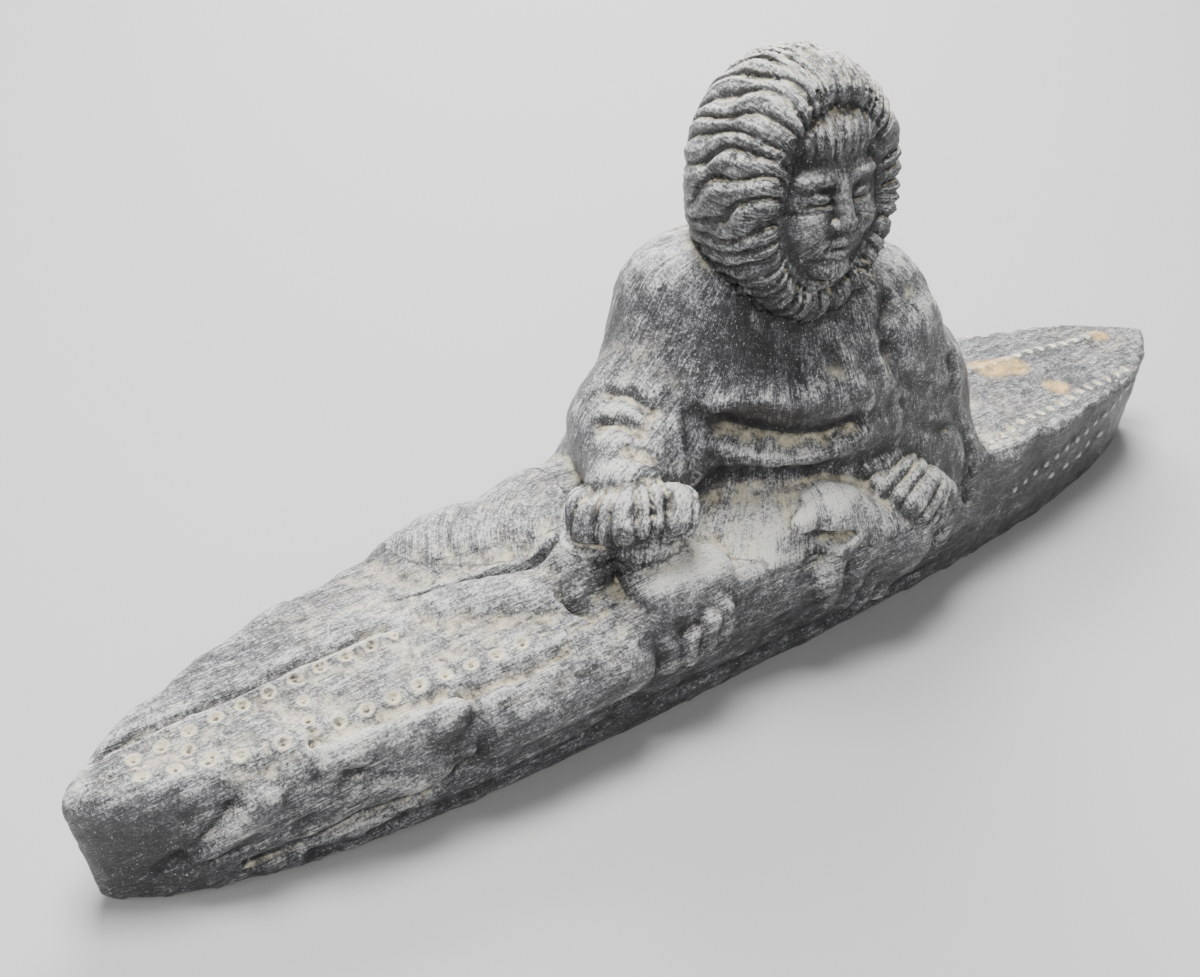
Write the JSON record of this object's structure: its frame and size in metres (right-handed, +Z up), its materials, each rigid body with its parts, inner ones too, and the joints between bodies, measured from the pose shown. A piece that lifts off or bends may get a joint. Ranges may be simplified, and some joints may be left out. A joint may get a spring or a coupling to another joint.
{
  "type": "soapstone hunter sculpture",
  "caption": "Carved stone figure of a fur-hooded hunter seated in a kayak, holding the near gunwale; a one-piece shelf ornament that stands on its flat underside.",
  "frame": {"origin": "in the flat underside of the hull, half way along the keel line", "axes": "+X along the kayak towards its slimmer end, the hunter looks towards -Y, +Z up"},
  "size_m": [0.3201, 0.07, 0.1429],
  "materials": {
    "soapstone": "dark grey carved soapstone with a dull rubbed sheen, pale dust in the grooves and on the upper faces"
  },
  "bodies": {
    "root": {"hunter_in_kayak": "soapstone"}
  },
  "joints": []
}
